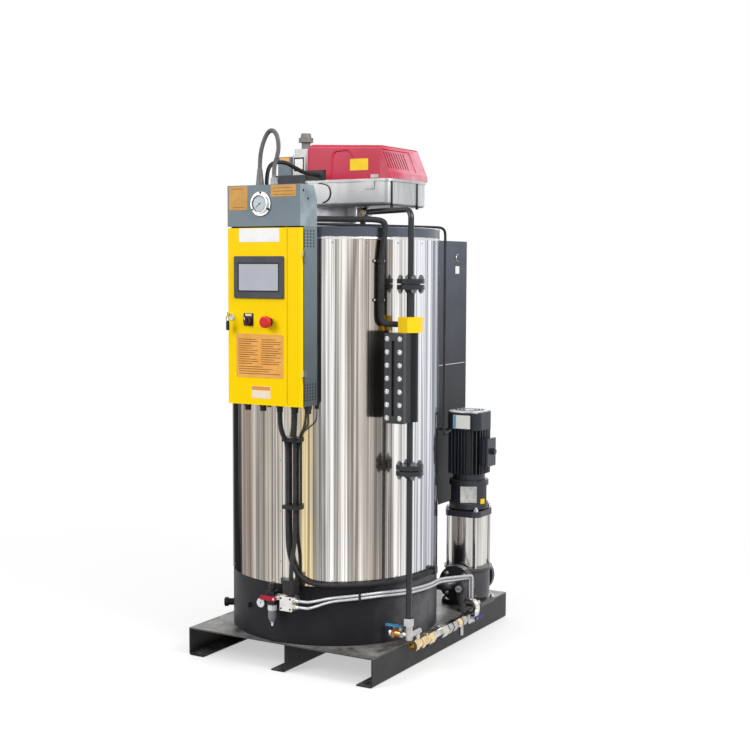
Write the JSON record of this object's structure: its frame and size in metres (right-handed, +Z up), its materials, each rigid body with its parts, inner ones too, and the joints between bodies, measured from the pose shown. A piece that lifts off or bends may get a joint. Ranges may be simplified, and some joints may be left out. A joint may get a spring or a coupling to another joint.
{
  "type": "vertical gas steam boiler",
  "caption": "Vertical gas-fired steam boiler on a fork-pocket skid, with steel jacket, top burner, hinged control cabinet, water level column, drain line and feed pump.",
  "frame": {"origin": "on the floor, on the boiler body's vertical axis, under the skid's middle runner", "axes": "+Z up along the boiler axis, the control cabinet faces -Y, +X to the right seen from the cabinet's front"},
  "size_m": [0.878, 1.245, 1.948],
  "materials": {
    "black_paint": "satin",
    "stainless": "mirror polished sheet",
    "lid_grey": "gloss",
    "cabinet_grey": "fine texture",
    "yellow": "semi gloss",
    "dark_plastic": "satin",
    "panel": "satin with a glass screen",
    "zinc": "polished",
    "stop_red": "gloss",
    "lever_red": "dipped sleeve",
    "lever_blue": "dipped sleeve",
    "burner_red": "semi gloss",
    "cast_alu": "as cast, bead blasted",
    "gas_grey": "die cast",
    "conduit_grey": "corrugated",
    "conduit_black": "corrugated",
    "brass": "turned",
    "glass": "clear",
    "bowl": "translucent",
    "tube": "braided",
    "casing_dark": "satin",
    "pump_black": "painted",
    "gauge_yellow": "semi gloss"
  },
  "bodies": {
    "boiler": {"deck_plate": "black_paint", "left_runner": "black_paint", "middle_runner": "black_paint", "right_runner": "black_paint", "base_skirt": "black_paint", "cladding": "stainless", "top_lid": "lid_grey", "cabinet_case": "cabinet_grey", "cabinet_rails": "black_paint", "instrument_box": "cabinet_grey", "pressure_gauge": "zinc", "cable_fittings": "dark_plastic", "front_looms": "conduit_black", "air_regulator": "dark_plastic", "regulator_bowl": "bowl", "solenoid_valve": "zinc", "solenoid_coil": "dark_plastic", "air_tubes": "tube", "burner_neck": "black_paint", "burner_body": "cast_alu", "burner_hood": "burner_red", "burner_lead": "conduit_black", "burner_plug": "dark_plastic", "conduit_glands": "conduit_grey", "gas_pipe": "black_paint", "gas_controls": "gas_grey", "conduit_loop": "conduit_grey", "side_leads": "conduit_black", "steam_pipe": "black_paint", "column_pipes": "black_paint", "level_head": "gauge_yellow", "level_gauge_body": "black_paint", "level_gauge_cover": "black_paint", "level_gauge_glass": "glass", "drain_valve": "brass", "drain_line": "brass", "pipe_unions": "zinc", "blowdown_actuator": "pump_black", "pump_base": "pump_black", "pump_sleeve": "stainless", "pump_head": "pump_black", "motor_frame": "pump_black", "motor_cowl": "pump_black", "feed_pipe": "black_paint", "rear_casing": "casing_dark"},
    "door": {"cabinet_door": "yellow", "touch_panel": "panel", "door_hardware": "zinc", "switch_bases": "dark_plastic"},
    "selector": {"selector_knob": "dark_plastic"},
    "e_stop": {"e_stop_button": "stop_red"},
    "drain_handle": {"drain_lever": "lever_blue"},
    "blowdown_handle": {"blowdown_lever": "lever_blue"},
    "air_handle": {"air_lever": "lever_red"}
  },
  "joints": [
    {"name": "door_hinge", "type": "hinge", "parent": "boiler", "child": "door", "pos_m": [0.1795, -0.4875, 1.27], "axis": [0, 0, 1], "range_deg": [0, 110]},
    {"name": "selector_turn", "type": "hinge", "parent": "door", "child": "selector", "pos_m": [-0.039, -0.507, 1.256], "axis": [0, 1, 0], "range_deg": [0, 90]},
    {"name": "stop_push", "type": "slide", "parent": "door", "child": "e_stop", "axis": [0, 1, 0], "range_m": [0, 0.005], "stiffness_N_per_m": 2000},
    {"name": "drain_turn", "type": "hinge", "parent": "boiler", "child": "drain_handle", "pos_m": [0.403, -0.215, 0.177], "axis": [0, 0, 1], "range_deg": [0, 90]},
    {"name": "blowdown_turn", "type": "hinge", "parent": "boiler", "child": "blowdown_handle", "pos_m": [0.4685, 0.265, 0.104], "axis": [1, 0, 0], "range_deg": [0, 90]},
    {"name": "air_turn", "type": "hinge", "parent": "boiler", "child": "air_handle", "pos_m": [0.031, -0.461, 0.28], "axis": [0, 1, 0], "range_deg": [0, 90]}
  ]
}
